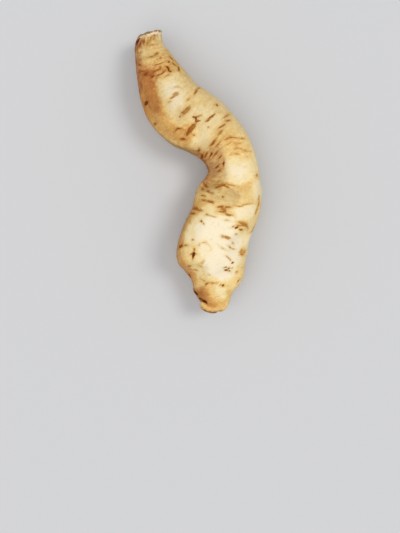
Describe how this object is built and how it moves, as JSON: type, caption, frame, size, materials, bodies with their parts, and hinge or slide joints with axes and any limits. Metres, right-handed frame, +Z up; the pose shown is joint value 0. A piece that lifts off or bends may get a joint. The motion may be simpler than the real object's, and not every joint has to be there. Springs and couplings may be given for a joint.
{
  "type": "sweet potato",
  "caption": "Whole pale-skinned sweet potato root, S-shaped, with a cut neck end, a full belly and a small curled tail, lying on its back.",
  "frame": {"origin": "middle of the root's box seen from above, on the surface that it lies on", "axes": "+Y along the root towards the cut neck, +Z up from the surface that it lies on, +X towards the outside of the bend"},
  "size_m": [0.1014, 0.2272, 0.0504],
  "materials": {
    "skin": "pale cream to golden-tan root skin with brown corky marks, matte with a slight waxy sheen"
  },
  "bodies": {
    "root": {"sweet_potato": "skin"}
  },
  "joints": []
}
